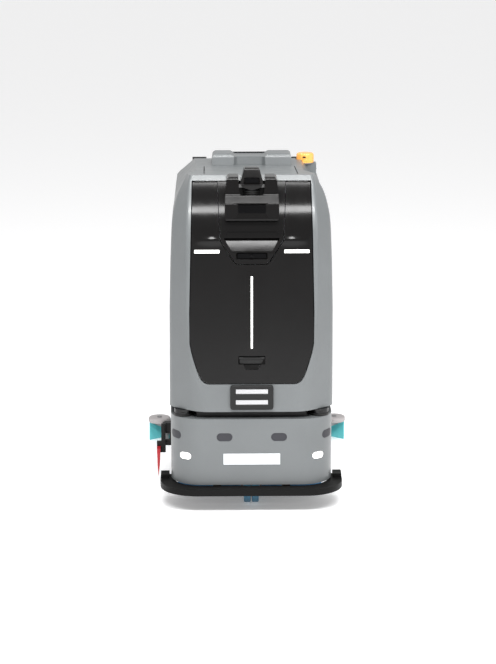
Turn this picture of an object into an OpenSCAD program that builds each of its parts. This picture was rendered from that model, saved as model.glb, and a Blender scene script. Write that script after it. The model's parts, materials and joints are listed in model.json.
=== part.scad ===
/* [Body] */
// Half width of the upper body at its base
body_hw = 284; // [278:1:290]
// Y of the flat front face
front_y = -503; // [-510:1:-500]
// Y of the rear face
rear_y = 440; // [430:1:445]
// Height of the body's lower front edge
body_z0 = 354; // [350:1:358]
// Height of the lip at the front top edge
lip_z = 1160; // [1158:1:1162]
// Wall thickness of the moulded shells
wall = 6; // [4:0.5:8]

/* [Lower casing] */
// Underside of the lower casing
casing_z0 = 93; // [92:1:96]
// Top of the lower casing
casing_z1 = 328; // [324:1:330]
// Radius of its front corners
casing_r = 110; // [100:1:115]

/* [Hatch] */
// Underside of the hatch panel
hatch_z0 = 454; // [452:1:456]
// Height of the hatch hinge axis
hatch_z1 = 1138; // [1136:1:1139]
// Thickness of the hatch panel
hatch_t = 5; // [4:0.5:6]
// Gap round the hatch
gap = 3; // [3:0.5:4]

/* [Wheels] */
// Radius of the driven wheels
drive_r = 110; // [100:1:112]
// Y of the driven axle
drive_y = 170; // [160:1:175]
// Radius of the caster wheels
caster_r = 45; // [40:1:46]
// Y of the caster's swivel axis
caster_y = -418; // [-419:1:-416]
// How far the caster wheels trail
trail = 18; // [16:1:18]

/* [Cleaning] */
// Half distance between the brush centres
brush_x = 134; // [133:1:135]
// Outer radius of a disc brush
brush_r = 130; // [120:1:131]
// Y of the brush centres
brush_y = -160; // [-165:1:-155]
// Radius of the squeegee's arc
squeegee_r = 554; // [550:1:558]
// Half distance between the squeegee's end rollers
roller_x = 338; // [336:1:340]

/* [Hidden] */
$fn = 64;
run = 0.05;
squeegee_cy = 525 - squeegee_r;
roller_y = squeegee_cy + sqrt(squeegee_r * squeegee_r - roller_x * roller_x);
lidar_x = 236;
lidar_y = -436;
pivot_y = 300;
pivot_z = 125;
swivel_y = 455;
hose_y = 500;
stop_x = -90;
stop_y = 195;

// Y of the front face at height z: upright, then curving back above 940
function front_at(z) = front_y + 8 * max(0, z - body_z0) / 600
  + 87 * pow(max(0, z - 940) / 208, 2.2);
// Heights at which the front curve has a point
function front_rows(z0, z1) = [for (i = [0:10]) z0 + (z1 - z0) * i / 10];
// Height of the deck at y, behind its front slope
function deck_at(y) = 1136 - 10 * (y + 20) / 250;
// Half width of the hatch at height z
function hatch_hw(z) = z < hatch_z0 + 28 ? 156 + 26 * sin(90 * (z - hatch_z0) / 28)
  : z < 592 ? 182 + 30 * (z - hatch_z0 - 28) / (564 - hatch_z0)
  : 212 - 12 * (z - 592) / 546;

// A prism along X from a YZ outline
module along_x(x0, x1) {
  translate([x0, 0, 0]) rotate([90, 0, 90]) linear_extrude(x1 - x0) children();
}
// A prism along Y from an XZ outline
module along_y(y0, y1) {
  translate([0, y1, 0]) rotate([90, 0, 0]) linear_extrude(y1 - y0) children();
}
module block(x0, x1, y0, y1, z0, z1) {
  translate([x0, y0, z0]) cube([x1 - x0, y1 - y0, z1 - z0]);
}
module rod_x(x0, x1, y, z, r) {
  translate([x0, y, z]) rotate([0, 90, 0]) cylinder(r = r, h = x1 - x0);
}
module rod_y(x, y0, y1, z, r) {
  translate([x, y0, z]) rotate([-90, 0, 0]) cylinder(r = r, h = y1 - y0);
}
module rod_z(x, y, z0, z1, r) { translate([x, y, z0]) cylinder(r = r, h = z1 - z0); }
// A flat oval, long along X
module oval(w, h) {
  square([w - h, h], center = true);
  for (s = [-1, 1]) translate([s * (w - h) / 2, 0]) circle(h / 2);
}

// ---- upper body: a plan, a side and a front outline intersected ----
module body_plan(i) {
  polygon([[-222, front_y + i], [222, front_y + i], [body_hw - i, -418],
    [body_hw - i, rear_y - 60], [body_hw - 60, rear_y - i],
    [60 - body_hw, rear_y - i], [i - body_hw, rear_y - 60], [i - body_hw, -418]]);
}
module body_side(i) {
  rows = front_rows(500, lip_z);
  polygon(concat([[rear_y - i, 150 - i], [-150 + i, 150 - i],
    [-150 + i, body_z0 - i], [front_y + i, body_z0 - i]],
    [for (z = rows) [front_at(z) + i, min(z, lip_z - i)]],
    [[-20, deck_at(-20) - i], [230, deck_at(230) - i], [380 - i, 1056 - i], [rear_y - i, 960]]));
}
module body_front(i) {
  polygon(concat([[body_hw - i, 100], [body_hw - 2 - i, 700], [274 - i, 960]],
    [for (a = [0:15:90]) [205 - i + 67 * cos(a), 1000 + (lip_z - i - 1000) * sin(a)]],
    [for (a = [90:-15:0]) [-(205 - i + 67 * cos(a)), 1000 + (lip_z - i - 1000) * sin(a)]],
    [[i - 274, 960], [2 + i - body_hw, 700], [i - body_hw, 100]]));
}
module shoulder_outline(i) {
  half = [[268 - i, 1000], [262 - i, 1043], [236 - i, 1074], [212 - i, 1104],
    [198 - i, 1122], [188 - i, 1136], [180 - i, 1170]];
  polygon(concat(half, [for (k = [len(half) - 1:-1:0]) [-half[k][0], half[k][1]]]));
}
module body_solid(i) {
  difference() {
    intersection() {
      translate([0, 0, 100]) linear_extrude(1100) body_plan(i);
      along_x(-300, 300) body_side(i);
      along_y(-520, 460) body_front(i);
      union() {
        along_y(-520, -345) square_at(-300, 300, 100, 1200);
        // shoulders fall away behind the lip
        along_y(-346, 460) {
          square_at(-300, 300, 100, 1001);
          shoulder_outline(i);
        }
      }
    }
    // ledge the beacon stands on
    block(175 - i, 300, 165 - i, 460, 1110 - i, 1200);
  }
}
module hatch_outline(g) {
  rows = [for (i = [0:4]) hatch_z0 + 7 * i];
  high = [592, hatch_z1];
  half = concat([for (z = rows) [hatch_hw(z) + g, z]],
    [for (z = high) [hatch_hw(z) + g, z]]);
  difference() {
    union() {
      polygon(concat(half, [for (i = [len(half) - 1:-1:0]) [-half[i][0], half[i][1]]]));
      if (g > 0) {
        square_at(-156, 156, hatch_z0 - g, hatch_z0 + 10);
        square_at(-200 - g, 200 + g, 1100, lip_z - 17);
      }
    }
    if (g == 0) pod_outline(gap);
  }
}
module square_at(x0, x1, z0, z1) {
  translate([x0, z0]) square([x1 - x0, z1 - z0]);
}
module pod_outline(g) {
  polygon([[-54 - g, 871 - g], [54 + g, 871 - g], [107 + g, 953], [116 + g, 1152],
    [-116 - g, 1152], [-107 - g, 953]]);
}

module main_body_shell() {
  color([0.47, 0.485, 0.49]) difference() {
    body_solid(0);
    body_solid(wall);
    along_y(-520, -380) hatch_outline(gap);
    // way through for the frame and the deck
    block(-265, 265, -152, -140, 100, 340);
    // stem of the stop button
    rod_z(stop_x, stop_y, 1100, 1140, 10);
    // lid opening in the deck
    block(-162, 162, -352, -46, 1080, 1200);
    // wheel arches
    rod_x(-300, 300, drive_y, drive_r, drive_r + 16);
    // suction inlet, and the notch the squeegee arm rises through
    rod_y(0, 400, 460, 440, 21);
    block(-60, 60, 420, 460, 140, 176);
  }
}

// ---- hatch ----
module hatch_slab(off, t, z0, z1) {
  rows = front_rows(z0, z1);
  along_x(-230, 230) polygon(concat([for (z = rows) [front_at(z) + off, z]],
    [for (i = [10:-1:0]) [front_at(rows[i]) + off + t, rows[i]]]));
}
module front_panel() {
  color([0.1, 0.1, 0.1]) {
    difference() {
      intersection() {
        hatch_slab(0, hatch_t, hatch_z0, hatch_z1);
        along_y(-520, -380) hatch_outline(0);
      }
      // recess behind the latch paddle, LED slots
      block(-46, 46, -520, -480, 503, 551);
      led_slots(0.3, -520);
    }
    // tray behind the latch recess
    difference() {
      block(-52, 52, front_at(520) + hatch_t, -468, 496, 558);
      block(-46, 46, -510, -474, 503, 551);
    }
    // hinge knuckles
    for (s = [-1, 1]) rod_x(s > 0 ? 122 : -192, s > 0 ? 192 : -122,
      front_at(hatch_z1) + 2.5, hatch_z1, 3.5);
  }
}
module led_slots(g, y0) {
  along_y(y0, -480) {
    translate([0, 703]) square([7 + 2 * g, 252 + 2 * g], center = true);
    for (s = [-1, 1]) translate([s * 152.5, 914])
      square([85 + 2 * g, 11 + 2 * g], center = true);
  }
}
module led_strips() {
  color([0.98, 0.98, 0.95]) intersection() {
    hatch_slab(-0.5, hatch_t, 460, 1000);
    led_slots(0, -520);
  }
}
module latch_paddle() {
  color([0.2, 0.2, 0.2]) difference() {
    union() {
      rod_x(-44, 44, -492, 542, 5);
      block(-42, 42, -494, -489, 523, 542);
    }
    block(-30, 30, -520, -496, 500, 560);
  }
}

// ---- pod and turret ----
module sensor_pod() {
  color([0.09, 0.09, 0.09]) difference() {
    union() {
      intersection() {
        hatch_slab(0, 30, 871, 1140);
        along_y(-520, -360) pod_outline(0);
      }
      along_x(-92, 92) polygon([[front_at(1021) + 4, 1021], [-516, 1023],
        [-514, 1080], [-488, 1106], [-430, 1166], [-401, 1166], [-401, 1158],
        [-414, 1142], [-450, 1050]]);
    }
    // valley between the lobes, sensor window, lower camera slot
    along_x(-42, 42) polygon([[-530, 1104], [-489, 1104], [-486, 1092],
      [-424, 1092], [-418, 1120], [-395, 1143], [-395, 1170], [-530, 1170]]);
    block(-47, 47, -530, -508, 1049, 1076);
    block(-52, 52, -520, -489, 888, 908);
    // wedge recess under the shelf
    along_x(-94, 94) polygon([[-520, 965], [-480, 957], [-520, 951]]);
  }
}
module pod_window() {
  color([0.02, 0.02, 0.02]) block(-46.5, 46.5, -511.5, -508, 1049.5, 1075.5);
}
module pod_camera() {
  color([0.05, 0.05, 0.06]) {
    block(-48, 48, -493, -489, 890, 906);
    rod_y(0, -495.5, -493, 898, 6);
  }
}
module turret_neck() {
  color([0.04, 0.04, 0.04]) translate([0, -452, 1092])
    cylinder(r1 = 24, r2 = 29, h = 28);
}
module hood_outline() {
  polygon([[-25, 1196], [25, 1196], [39, 1145], [32, 1132], [0, 1120],
    [-32, 1132], [-39, 1145]]);
}
module turret_hood() {
  color([0.12, 0.12, 0.12]) difference() {
    intersection() {
      along_y(-490, -415) hood_outline();
      along_x(-50, 50) polygon([[-484, 1120], [-488, 1145], [-472, 1196],
        [-428, 1196], [-424, 1150], [-427, 1120]]);
    }
    block(-24, 24, -492, -478, 1145, 1163);
  }
}
module turret_window() {
  color([0.01, 0.01, 0.01]) block(-23.5, 23.5, -481, -478, 1145.5, 1162.5);
}

// ---- lower front ----
module casing_plan(i) {
  c = body_hw - 4 - casing_r;
  for (s = [-1, 1]) translate([s * c, front_y + casing_r]) circle(casing_r - i);
  translate([-c, front_y + i]) square([2 * c, 200]);
  translate([i - c - casing_r, front_y + casing_r])
    square([2 * (c + casing_r - i), -150 - front_y - casing_r]);
}
// Places an outline on the casing's corner arc, turned a degrees from the front
module on_corner(s, a, z) {
  c = body_hw - 4 - casing_r;
  translate([s * c, front_y + casing_r, z]) rotate([0, 0, s * a])
    translate([0, -casing_r, 0]) rotate([90, 0, 0]) children();
}
module window_prisms(g) {
  for (s = [-1, 1]) {
    translate([s * 94, front_y, 264]) rotate([90, 0, 0]) linear_extrude(16, center = true)
      oval(54 + g, 28 + g);
    on_corner(s, 58, 264) linear_extrude(30, center = true) oval(58 + g, 28 + g);
  }
}
module lamp_prisms(g) {
  for (s = [-1, 1]) on_corner(s, 33, 194) linear_extrude(30, center = true)
    oval(44 + g, 23 + g);
}
module casing_skin(proud, depth) {
  translate([0, 0, casing_z0 + 5]) linear_extrude(casing_z1 - casing_z0 - 10)
    difference() {
      casing_plan(-proud);
      casing_plan(depth);
    }
}
module front_casing() {
  color([0.47, 0.485, 0.49]) difference() {
    translate([0, 0, casing_z0]) linear_extrude(casing_z1 - casing_z0) casing_plan(0);
    translate([0, 0, casing_z0 - 1]) linear_extrude(casing_z1 - casing_z0 - wall + 1)
      casing_plan(wall);
    block(-body_hw + wall + 4, body_hw - wall - 4, -200, -140, casing_z0 - 1,
      casing_z1 - wall);
    window_prisms(0.4);
    lamp_prisms(0.4);
    block(-99, 99, front_y - 1, front_y + 1.5, 165, 206);
  }
}
module sensor_windows() {
  color([0.1, 0.1, 0.11]) intersection() { casing_skin(0.6, 4); window_prisms(0); }
}
module corner_lamps() {
  color([0.97, 0.97, 0.97]) intersection() { casing_skin(1, 4); lamp_prisms(0); }
}
module blank_plate() {
  color([0.93, 0.94, 0.95]) block(-98, 98, front_y - 1, front_y + 1.5, 166, 205);
}
module lidar_slot_band() {
  color([0.06, 0.06, 0.06]) translate([0, 0, casing_z1])
    linear_extrude(body_z0 - casing_z1) polygon([[-190, -470], [190, -470],
      [196, -392], [262, -385], [262, -158], [-262, -158], [-262, -385], [-196, -392]]);
}
module lidar_bases() {
  color([0.05, 0.05, 0.05]) for (s = [-1, 1]) {
    rod_z(s * lidar_x, lidar_y, casing_z1, casing_z1 + 9, 33);
    rod_z(s * lidar_x, lidar_y, casing_z1 + 9, casing_z1 + 14, 8);
  }
}
module lidar_rotor(s) {
  color([0.03, 0.03, 0.03]) difference() {
    rod_z(s * lidar_x, lidar_y, casing_z1 + 9.5, casing_z1 + 24.5, 31);
    rod_z(s * lidar_x, lidar_y, casing_z1 + 9, casing_z1 + 14.5, 8 + run);
    translate([s * lidar_x - 9, lidar_y - 32, casing_z1 + 14]) cube([18, 4, 6]);
  }
}
module left_lidar_rotor() { lidar_rotor(-1); }
module right_lidar_rotor() { lidar_rotor(1); }
module charging_bezel() {
  color([0.08, 0.08, 0.08]) difference() {
    block(-74, 74, -515, front_y, 364, 450);
    for (z = [429, 391]) translate([0, -515, z]) cube([111, 6, 16], center = true);
  }
}
module charging_contacts() {
  color([0.75, 0.75, 0.76]) for (z = [429, 391])
    block(-55, 55, -514.5, -512, z - 7.5, z + 7.5);
}

// ---- bumper ----
module bumper_plan(w, y, r, y1) {
  intersection() {
    union() {
      for (s = [-1, 1]) translate([s * (w - r), y + r]) circle(r);
      translate([r - w, y]) square([2 * (w - r), r]);
      translate([-w, y + r]) square([2 * w, 300]);
    }
    translate([-w, y]) square([2 * w, y1 - y]);
  }
}
module bumper() {
  color([0.06, 0.06, 0.06]) {
    difference() {
      translate([0, 0, 66]) linear_extrude(22) bumper_plan(318, -550, 130, -350);
      translate([0, 0, 60]) linear_extrude(40) bumper_plan(272, -500, 105, -340);
    }
    for (s = [-1, 1]) {
      translate([s * 302, -375, 87]) linear_extrude(14) square([30, 50], center = true);
      rod_y(s * 120, -505, -380, 77, 7);
    }
  }
}

// ---- chassis ----
module chassis_frame() {
  color([0.12, 0.12, 0.13]) difference() {
    union() {
      for (s = [-1, 1]) {
        block(s * 170 - 20, s * 170 + 20, -443.9, 426, 236, 266);
        // bumper guide sockets and their hangers
        block(s * 120 - 14, s * 120 + 14, -480, -455, 62, 236);
        // squeegee lugs
        block(s * 70 - 6, s * 70 + 6, 284, 316, 108, 236);
      }
      // front beam, and the cross members bolted between the rails
      block(-190, 190, -480, -444, 236, 266);
      for (y = [-68, 280, 390]) block(-149.9, 149.9, y, y + 36, 236, 266);
    }
    for (s = [-1, 1]) rod_y(s * 120, -490, -440, 77, 7 + run);
    rod_x(-90, 90, pivot_y, pivot_z, 8 + run);
    for (s = [-1, 1]) rod_z(s * 100, -50, 230, 270, 8 + run);
  }
}
module caster_mount() {
  color([0.55, 0.56, 0.57]) difference() {
    union() {
      rod_z(0, caster_y, 150, 236, 26);
      block(-60, 60, caster_y - 28, caster_y + 28, 228, 236);
    }
    rod_z(0, caster_y, 149, 200, 12 + run);
  }
}
module caster_fork() {
  color([0.3, 0.31, 0.32]) {
    rod_z(0, caster_y, 112, 198, 12);
    rod_z(0, caster_y, 104, 148, 24);
    for (s = [-1, 1]) block(s * 33 - 3, s * 33 + 3, caster_y - 20, caster_y + trail + 12,
      caster_r - 12, 112);
    block(-36, 36, caster_y - 20, caster_y + trail + 12, 104, 112);
    rod_x(-38, 38, caster_y + trail, caster_r, 6);
  }
}
module caster_wheels() {
  color([0.14, 0.24, 0.3]) for (s = [-1, 1]) difference() {
    rod_x(s * 14 - 12, s * 14 + 12, caster_y + trail, caster_r, caster_r);
    rod_x(-30, 30, caster_y + trail, caster_r, 6 + run);
    rod_x(s * 26 - 4, s * 26 + 4, caster_y + trail, caster_r, 28);
  }
  color([0.14, 0.24, 0.3]) difference() {
    rod_x(-2, 2, caster_y + trail, caster_r, 14);
    rod_x(-3, 3, caster_y + trail, caster_r, 6 + run);
  }
}
module gear_motors() {
  color([0.25, 0.26, 0.27]) for (s = [-1, 1]) scale([s, 1, 1]) {
    rod_x(40, 150, drive_y, drive_r, 42);
    rod_x(150, 190, drive_y, drive_r, 52);
    rod_x(190, 238, drive_y, drive_r, 12);
    block(70, 150, drive_y - 25, drive_y + 25, drive_r + 30, 236);
  }
}
module rim(s) {
  color([0.6, 0.61, 0.62]) difference() {
    rod_x(s * 230 - 25, s * 230 + 25, drive_y, drive_r, 74);
    rod_x(s * 230 - 30, s * 230 + 30, drive_y, drive_r, 12 + run);
    rod_x(s > 0 ? 243 : -256, s > 0 ? 256 : -243, drive_y, drive_r, 62);
    for (a = [0:60:300]) translate([0, drive_y, drive_r]) rotate([a, 0, 0])
      rod_x(s * 230 - 30, s * 230 + 30, 42, 0, 9);
  }
}
module tyre(s) {
  color([0.07, 0.07, 0.07]) translate([s * 230, drive_y, drive_r]) rotate([0, 90, 0])
    rotate_extrude() polygon([[74, -25], [104, -25], [drive_r, -18], [drive_r, 18],
      [104, 25], [74, 25]]);
}
module left_rim() { rim(-1); }
module left_tyre() { tyre(-1); }
module right_rim() { rim(1); }
module right_tyre() { tyre(1); }

// ---- brush deck ----
module brush_deck() {
  color([0.18, 0.18, 0.19]) for (s = [-1, 1]) rod_z(s * 100, -50, 84, 262, 8);
  color([0.18, 0.18, 0.19]) difference() {
    translate([0, 0, 50]) linear_extrude(34) deck_plan(0);
    translate([0, 0, 49]) linear_extrude(29) deck_plan(6);
    for (s = [-1, 1]) rod_z(s * brush_x, brush_y, 40, 90, 13);
  }
}
module deck_plan(i) {
  for (s = [-1, 1]) translate([s * brush_x, brush_y]) circle(brush_r + 9 - i);
  translate([-brush_x, brush_y - 139 + i]) square([2 * brush_x, 278 - 2 * i]);
}
module brush_motors() {
  color([0.2, 0.2, 0.22]) for (s = [-1, 1]) {
    rod_z(s * brush_x, brush_y, 84, 190, 42);
    rod_z(s * brush_x, brush_y, 36, 84, 10);
  }
}
module brush_disc(s) {
  color([0.1, 0.3, 0.45]) difference() {
    rod_z(s * brush_x, brush_y, 30, 44, brush_r - 2);
    rod_z(s * brush_x, brush_y, 35, 60, 10 + run);
  }
}
module bristles(s) {
  color([0.15, 0.35, 0.5]) translate([s * brush_x, brush_y, 0.6]) difference() {
    cylinder(r = brush_r - 4, h = 29.4);
    translate([0, 0, -1]) cylinder(r = 62, h = 40);
  }
}
module left_brush_disc() { brush_disc(-1); }
module right_brush_disc() { brush_disc(1); }
module left_bristles() { bristles(-1); }
module right_bristles() { bristles(1); }

// ---- side skirt at the left ----
module skirt_bracket() {
  color([0.08, 0.08, 0.08]) {
    block(-309, -284, -130, -100, 176, 214);
    block(-309, -285, -130, -100, 130, 148);
    block(-291, -285, -130, -100, 148, 176);
    rod_y(-312, -150, -100, 206, 5);
  }
}
module skirt_arm() {
  color([0.07, 0.07, 0.07]) {
    difference() {
      block(-320, -304, -146, -134, 150, 214);
      rod_y(-312, -148, -132, 206, 5 + run);
    }
    block(-336, -304, -146, -134, 108, 150);
  }
}
module skirt_blade() {
  color([0.65, 0.02, 0.1]) along_y(-190, -146)
    polygon([[-335, 132], [-322, 132], [-325, 70], [-330, 28], [-333, 70]]);
}
module skirt_spring() {
  color([0.6, 0.6, 0.6]) for (i = [0:6]) translate([-299, -115, 150.5 + 3.6 * i])
    rotate_extrude() translate([5, 0]) circle(1.6, $fn = 16);
}

// ---- squeegee ----
module arc(r0, r1, z0, z1, half) {
  $fn = 240;
  translate([0, squeegee_cy, 0]) rotate([0, 0, 90 - half]) rotate_extrude(angle = 2 * half)
    translate([r0, z0]) square([r1 - r0, z1 - z0]);
}
module squeegee_arm() {
  color([0.3, 0.31, 0.32]) difference() {
    union() {
      rod_x(-80, 80, pivot_y, pivot_z, 8);
      for (s = [-1, 1]) block(s * 50 - 6, s * 50 + 6, 288, 480, 113, 137);
      block(-56, 56, 430, 474, 104, 113);
    }
    rod_z(0, swivel_y, 100, 120, 8 + run);
  }
}
module squeegee_head() {
  color([0.52, 0.53, 0.54]) difference() {
    union() {
      arc(squeegee_r - 42, squeegee_r + 14, 58, 70, 38.6);
      arc(squeegee_r - 42, squeegee_r - 39, 27, 58, 38.6);
      block(-50, 50, 436, 530, 70, 103);
      rod_z(0, swivel_y, 103, 122, 8);
      rod_z(0, hose_y, 103, 112, 20);
      for (s = [-1, 1]) rod_z(s * roller_x, roller_y, 70, 94, 8);
    }
    rod_z(0, hose_y, 50, 120, 15);
  }
  // rear clamp strap
  color([0.52, 0.53, 0.54]) arc(squeegee_r + 18.6, squeegee_r + 25, 42, 69, 36);
}
module squeegee_blades() {
  color([0.35, 0.75, 0.76]) {
    arc(squeegee_r + 14.2, squeegee_r + 18.4, 0.6, 70, 41.2);
    arc(squeegee_r - 38.6, squeegee_r - 34.4, 0.6, 57.8, 38.2);
  }
}
module roller(s) {
  color([0.65, 0.64, 0.64]) difference() {
    rod_z(s * roller_x, roller_y, 71, 91, 42);
    rod_z(s * roller_x, roller_y, 60, 100, 8 + run);
  }
}
module left_end_roller() { roller(-1); }
module right_end_roller() { roller(1); }
module suction_hose() {
  color([0.12, 0.12, 0.12]) difference() {
    rod_z(0, hose_y, 112.2, 419.8, 20);
    rod_z(0, hose_y, 100, 430, 16);
  }
}
module hose_elbow() {
  color([0.15, 0.15, 0.15]) difference() {
    union() {
      rod_z(0, hose_y, 420, 462, 22);
      rod_y(0, 434, hose_y, 440, 20);
    }
    rod_z(0, hose_y, 410, 452, 16);
    rod_y(0, 420, hose_y, 440, 14);
  }
}

// ---- inside ----
module solution_tank() {
  color([0.85, 0.87, 0.88]) difference() {
    block(-190, 190, -460, -60, 372, 770);
    block(-184, 184, -454, -66, 378, 764);
    rod_z(120, -420, 760, 780, 28);
  }
}
module recovery_tank() {
  color([0.8, 0.82, 0.83]) difference() {
    block(-170, 170, -360, -38, 780, 1118);
    block(-158, 158, -348, -50, 786, 1140);
  }
}
module tank_lid() {
  color([0.55, 0.57, 0.58]) {
    along_x(-159, 159) polygon([[-349, lip_z - 9], [-49, lip_z - 28],
      [-49, lip_z - 22.5], [-349, lip_z - 3.5]]);
    rod_x(-150, 150, -51, lip_z - 25, 2.6);
  }
}
module battery_pack() {
  color([0.1, 0.12, 0.14]) {
    block(-200, 200, -25, 260, 268, 460);
    for (s = [-1, 1]) rod_z(s * 60, 60, 460, 478, 10);
  }
}
module control_box() {
  color([0.6, 0.62, 0.63]) block(-140, 140, 60, 240, 500, 680);
}
module suction_motor() {
  color([0.2, 0.2, 0.22]) {
    rod_z(0, 170, 740, 860, 85);
    rod_z(0, 170, 860, 900, 60);
  }
}

// ---- console, rail and beacon ----
module deck_wedge(y0, y1, top) {
  polygon([[y0, deck_at(y0) + 0.05], [y0 + 4, top], [y1 - 70, top],
    [y1, deck_at(y1) + 0.05]]);
}
module console_housing() {
  color([0.5, 0.515, 0.52]) difference() {
    union() {
      along_x(-136, -52) deck_wedge(-20, 150, 1177);
      along_x(-52, 55) deck_wedge(-2, 150, 1165);
      along_x(55, 153) deck_wedge(-20, 150, 1177);
    }
    translate([2, 117, 1153.5]) rotate([-32, 0, 0]) cube([230, 66, 12], center = true);
  }
}
module touch_screen() {
  color([0.02, 0.02, 0.03]) translate([2, 117, 1153.5]) rotate([-32, 0, 0])
    translate([0, 0, -3.5]) cube([228, 64, 5], center = true);
}
module push_rail() {
  color([0.06, 0.06, 0.06]) difference() {
    union() {
      rod_x(-200, 200, 290, 1100, 9);
      for (s = [-1, 1]) {
        rod_x(s * 178 - 26, s * 178 + 26, 290, 1107, 14);
        block(s * 130 - 12, s * 130 + 12, 284, 296, 1070, 1100);
      }
    }
    body_solid(0);
  }
}
module switch_bases() {
  color([0.85, 0.75, 0.1]) difference() {
    rod_z(stop_x, stop_y, 1118, 1134, 24);
    body_solid(0);
    rod_z(stop_x, stop_y, 1110, 1140, 9 + run);
  }
}
module stop_button() {
  color([0.75, 0.03, 0.03]) {
    rod_z(stop_x, stop_y, 1127.6, 1139, 9);
    rod_z(stop_x, stop_y, 1139, 1147, 17);
  }
}
module beacon_bracket() {
  color([0.5, 0.51, 0.52]) difference() {
    union() {
      block(186, 250, 180, 226, 1070, 1112);
      rod_z(210, 203, 1110.05, 1114, 34);
    }
    body_solid(0);
  }
}
module beacon_lens() {
  color([0.9, 0.6, 0.2]) rod_z(210, 203, 1114.05, 1149, 32.5);
}

chassis_frame();
main_body_shell();
front_casing();
lidar_slot_band();
lidar_bases();
left_lidar_rotor();
right_lidar_rotor();
sensor_windows();
corner_lamps();
blank_plate();
charging_bezel();
charging_contacts();
front_panel();
led_strips();
latch_paddle();
sensor_pod();
pod_window();
pod_camera();
turret_neck();
turret_hood();
turret_window();
bumper();
caster_mount();
caster_fork();
caster_wheels();
gear_motors();
left_rim();
left_tyre();
right_rim();
right_tyre();
brush_deck();
brush_motors();
left_brush_disc();
left_bristles();
right_brush_disc();
right_bristles();
skirt_bracket();
skirt_arm();
skirt_blade();
skirt_spring();
squeegee_arm();
squeegee_head();
squeegee_blades();
left_end_roller();
right_end_roller();
suction_hose();
hose_elbow();
solution_tank();
recovery_tank();
tank_lid();
battery_pack();
control_box();
suction_motor();
console_housing();
touch_screen();
push_rail();
switch_bases();
stop_button();
beacon_bracket();
beacon_lens();
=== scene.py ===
import json
import math

import bmesh
import bpy
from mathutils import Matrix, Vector


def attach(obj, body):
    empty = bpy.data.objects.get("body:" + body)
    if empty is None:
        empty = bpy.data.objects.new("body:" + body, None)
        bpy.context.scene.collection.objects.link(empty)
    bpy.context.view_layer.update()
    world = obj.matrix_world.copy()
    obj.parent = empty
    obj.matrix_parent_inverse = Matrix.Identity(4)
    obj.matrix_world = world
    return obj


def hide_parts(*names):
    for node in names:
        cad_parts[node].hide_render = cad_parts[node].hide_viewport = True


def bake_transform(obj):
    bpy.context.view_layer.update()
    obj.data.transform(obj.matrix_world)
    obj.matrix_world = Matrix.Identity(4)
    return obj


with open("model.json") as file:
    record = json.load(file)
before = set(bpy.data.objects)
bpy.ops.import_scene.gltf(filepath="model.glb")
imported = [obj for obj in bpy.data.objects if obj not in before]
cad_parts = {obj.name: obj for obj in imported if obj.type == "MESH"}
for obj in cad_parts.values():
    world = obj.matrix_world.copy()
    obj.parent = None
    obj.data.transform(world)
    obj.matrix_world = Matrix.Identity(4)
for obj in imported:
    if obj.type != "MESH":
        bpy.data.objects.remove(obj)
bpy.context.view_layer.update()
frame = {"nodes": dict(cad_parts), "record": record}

NODES = frame["nodes"]
GAP = 0.003          # shut line round the hatch
FRONT_Y = -0.503     # flat front face of the upper body
LIP_Z = 1.160        # front top edge
BODY_Z0 = 0.354      # lower front edge of the upper body
HATCH_Z = (0.454, 1.138)
WALL = 0.006         # thickness of the body shell
AXLE_YZ = (0.170, 0.110)    # drive wheel centre
ARCH_R = 0.126       # wheel arch
TYRE_X = 0.230       # drive wheel centre, sideways
INLET_Z, INLET_R = 0.44, 0.021    # hole for the hose elbow
HOSE_XY = (0, 0.500)
BRUSH_X, BRUSH_Y = 0.134, -0.160
BUTTON_XY = (-0.090, 0.195)
STEM_R = 0.010       # hole for the stop button's stem
BEACON_XY = (0.210, 0.203)
TURRET_XY = (0, -0.452)
CLAMP_R, CLAMP_Y = 0.579, -0.029  # arc the squeegee clamp bolts stand on


# ---------------------------------------------------------------- shapes
def front_at(z):
    """Y of the front face at height z: upright, then curving back."""
    lean = 0.008 * max(0.0, z - BODY_Z0) / 0.6
    return FRONT_Y + lean + 0.087 * max(0.0, (z - 0.94) / 0.208) ** 2.2


HATCH_HALF = [(0.454, 0.146), (0.4555, 0.154), (0.460, 0.162), (0.468, 0.1705), (0.480, 0.1785),
              (0.500, 0.1865), (0.530, 0.1955), (0.560, 0.2040), (0.592, 0.2105),
              (0.640, 0.2120), (1.138, 0.200)]


def hatch_half(z):
    """Half width of the hatch at height z."""
    return smooth_table(HATCH_HALF, z, 0.0015 if z < 0.47 else 0.010)


def lerp_table(table, x):
    """Reads y at x from a short list of (x, y), in straight lines between them."""
    if x <= table[0][0]:
        return table[0][1]
    for (x0, y0), (x1, y1) in zip(table, table[1:]):
        if x <= x1:
            t = (x - x0) / (x1 - x0)
            return y0 + (y1 - y0) * t
    return table[-1][1]


def smooth_table(table, x, reach=0.02):
    """lerp_table averaged over a short reach, so its corners are round."""
    steps = 9
    total = sum(lerp_table(table, x + reach * (i / (steps - 1) * 2 - 1)) for i in range(steps))
    return total / steps


def new_object(name, verts, faces):
    mesh = bpy.data.meshes.new(name)
    mesh.from_pydata(verts, [], faces)
    mesh.update()
    obj = bpy.data.objects.new(name, mesh)
    bpy.context.scene.collection.objects.link(obj)
    return obj


def from_bmesh(name, bm):
    bmesh.ops.recalc_face_normals(bm, faces=bm.faces)
    mesh = bpy.data.meshes.new(name)
    bm.to_mesh(mesh)
    bm.free()
    obj = bpy.data.objects.new(name, mesh)
    bpy.context.scene.collection.objects.link(obj)
    return obj


def rebuilt(obj, bm):
    """Puts bm back in obj with its faces turned outwards."""
    bmesh.ops.recalc_face_normals(bm, faces=bm.faces)
    bm.to_mesh(obj.data)
    bm.free()
    return obj


def outward(obj):
    """Turns an object's faces outwards."""
    bm = bmesh.new()
    bm.from_mesh(obj.data)
    return rebuilt(obj, bm)


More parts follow.
